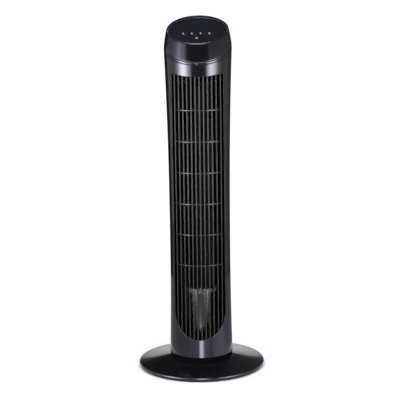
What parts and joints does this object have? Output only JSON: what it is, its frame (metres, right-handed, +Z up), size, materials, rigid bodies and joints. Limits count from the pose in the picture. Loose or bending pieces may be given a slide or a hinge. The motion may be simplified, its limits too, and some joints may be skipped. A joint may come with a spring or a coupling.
{
  "type": "tower fan",
  "caption": "Tall black tower fan: waisted round body with a barred front outlet, slanted control top and flat round swivelling base.",
  "frame": {"origin": "on the floor, in the middle of the round base", "axes": "+Z up the tower; the air outlet faces -Y; +X is to the right seen from the front"},
  "size_m": [0.27, 0.27, 0.7437],
  "materials": {
    "gloss_black": "high gloss",
    "satin_black": "satin",
    "matt_black": "fine matt",
    "panel_black": "gloss, blue black",
    "line_grey": "light grey line",
    "smoked_lens": "smoked clear",
    "rubber_black": "matt",
    "zinc_steel": "zinc plated",
    "bronze": "sintered",
    "wound_core": "varnished",
    "white_nylon": "natural nylon",
    "board_green": "solder mask"
  },
  "bodies": {
    "root": {"base_shell": "gloss_black", "base_plate": "matt_black", "base_weight": "zinc_steel", "pivot_post": "zinc_steel", "pivot_nut": "zinc_steel", "glide_ring": "white_nylon", "drive_arm": "zinc_steel", "foot_1": "rubber_black", "foot_2": "rubber_black", "foot_3": "rubber_black", "foot_4": "rubber_black", "base_screw_1": "zinc_steel", "base_screw_2": "zinc_steel", "base_screw_3": "zinc_steel", "base_screw_4": "zinc_steel"},
    "tower": {"tower_floor": "matt_black", "front_shell": "gloss_black", "rear_shell": "gloss_black", "front_grille": "satin_black", "trim_ring": "gloss_black", "ir_window": "smoked_lens", "top_cap": "gloss_black", "control_panel": "panel_black", "panel_line": "line_grey", "status_lens": "smoked_lens", "control_board": "board_green", "motor_cover": "matt_black", "motor_mount_ring": "matt_black", "motor_stator": "wound_core", "motor_bush": "bronze", "upper_bulkhead": "matt_black", "top_bush": "bronze", "air_scroll": "matt_black", "air_tongue": "matt_black", "swing_motor": "zinc_steel", "run_capacitor": "matt_black", "terminal_block": "white_nylon", "cord_gland": "rubber_black", "wiring_loom": "rubber_black", "tact_switch_1": "matt_black", "tact_switch_2": "matt_black", "tact_switch_3": "matt_black", "tact_switch_4": "matt_black", "shell_screw_1": "zinc_steel", "shell_screw_2": "zinc_steel", "shell_screw_3": "zinc_steel", "shell_screw_4": "zinc_steel"},
    "impeller": {"impeller": "satin_black", "motor_shaft": "zinc_steel", "top_shaft": "zinc_steel", "drive_hub": "rubber_black", "top_hub": "rubber_black", "motor_rotor": "zinc_steel"},
    "crank": {"swing_crank": "white_nylon"},
    "button_1": {"button_1": "gloss_black"},
    "button_2": {"button_2": "gloss_black"},
    "button_3": {"button_3": "gloss_black"},
    "button_4": {"button_4": "gloss_black"}
  },
  "joints": [
    {"name": "oscillation", "type": "hinge", "parent": "root", "child": "tower", "pos_m": [0, 0, 0.0325], "axis": [0, 0, 1], "range_deg": [-35, 35]},
    {"name": "impeller_spin", "type": "hinge", "parent": "tower", "child": "impeller", "pos_m": [0, 0, 0.1753], "axis": [0, 0, 1], "continuous": true},
    {"name": "crank_spin", "type": "hinge", "parent": "tower", "child": "crank", "pos_m": [0, 0.0385, 0.0325], "axis": [0, 0, 1], "continuous": true},
    {"name": "button_1_press", "type": "slide", "parent": "tower", "child": "button_1", "axis": [0, 0.3665, -0.9304], "range_m": [0, 0.001], "stiffness_N_per_m": 400, "springref_m": -0.0005},
    {"name": "button_2_press", "type": "slide", "parent": "tower", "child": "button_2", "axis": [0, 0.3665, -0.9304], "range_m": [0, 0.001], "stiffness_N_per_m": 400, "springref_m": -0.0005},
    {"name": "button_3_press", "type": "slide", "parent": "tower", "child": "button_3", "axis": [0, 0.3665, -0.9304], "range_m": [0, 0.001], "stiffness_N_per_m": 400, "springref_m": -0.0005},
    {"name": "button_4_press", "type": "slide", "parent": "tower", "child": "button_4", "axis": [0, 0.3665, -0.9304], "range_m": [0, 0.001], "stiffness_N_per_m": 400, "springref_m": -0.0005}
  ]
}
